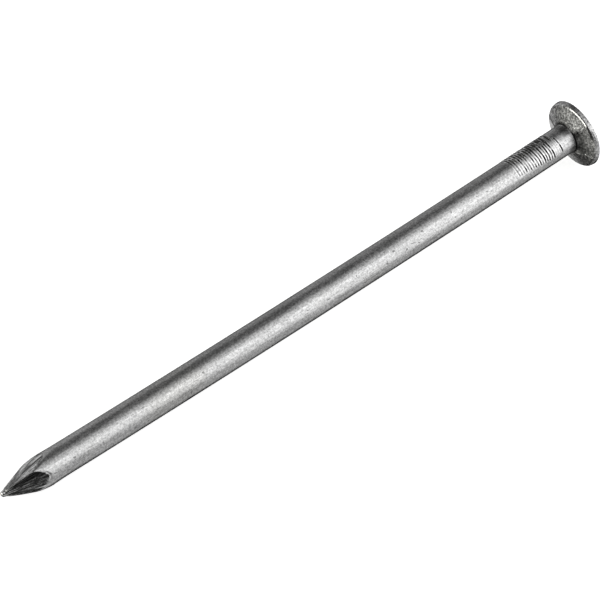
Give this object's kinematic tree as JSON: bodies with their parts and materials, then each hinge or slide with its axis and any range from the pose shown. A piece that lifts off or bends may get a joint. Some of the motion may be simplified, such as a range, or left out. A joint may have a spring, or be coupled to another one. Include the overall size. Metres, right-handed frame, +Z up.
{
  "type": "round wire nail",
  "caption": "Large round wire nail in bright drawn steel: flat head with a conical underside, gripping marks under the head, plain shank and a diamond point.",
  "frame": {"origin": "middle of the bottom of the bounding box, on the surface that the nail lies on", "axes": "+X along the nail from the point to the head, +Z up; the nail lies on the rim of its head and on the end of its shank, so its own axis rises 1.7 degrees towards the head"},
  "size_m": [0.1276, 0.0128, 0.0128],
  "materials": {
    "bright_steel": "bright drawn wire, uncoated, satin with fine lengthwise drawing lines"
  },
  "bodies": {
    "root": {"wire_nail": "bright_steel"}
  },
  "joints": []
}
